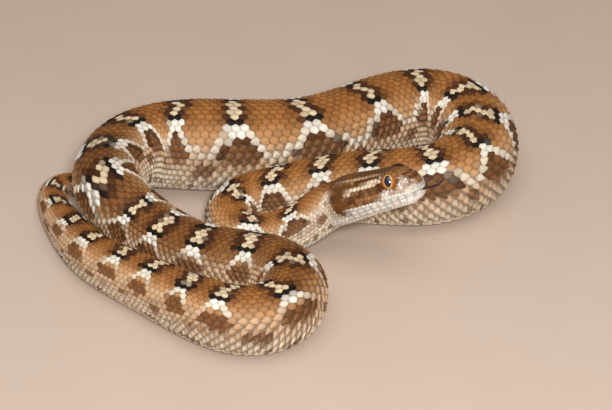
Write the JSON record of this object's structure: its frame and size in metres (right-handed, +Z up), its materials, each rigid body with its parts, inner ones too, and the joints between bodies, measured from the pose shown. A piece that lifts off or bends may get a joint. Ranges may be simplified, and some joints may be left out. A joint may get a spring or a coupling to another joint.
{
  "type": "coiled saw-scaled viper",
  "caption": "Life-size viper at rest in a loose coil, head laid over its own body, rough keeled scales and pale crossbars; a museum display figure.",
  "frame": {"origin": "centre of the bounding box on the floor plane under the coil", "axes": "+X towards the snout along the coil's longest side, +Y towards the rear strand of the coil, +Z up"},
  "size_m": [0.1372, 0.119, 0.0316],
  "materials": {
    "scaled_skin": "rough keeled scales",
    "eye": "glossy amber",
    "tongue": "moist dark red"
  },
  "bodies": {
    "root": {"head": "scaled_skin", "neck": "scaled_skin", "trunk_1": "scaled_skin", "trunk_2": "scaled_skin", "trunk_3": "scaled_skin", "trunk_4": "scaled_skin", "trunk_5": "scaled_skin", "trunk_6": "scaled_skin", "trunk_7": "scaled_skin", "trunk_8": "scaled_skin", "trunk_9": "scaled_skin", "trunk_10": "scaled_skin", "trunk_11": "scaled_skin", "tail": "scaled_skin", "eye_left": "eye", "eye_right": "eye", "tongue": "tongue"}
  },
  "joints": []
}
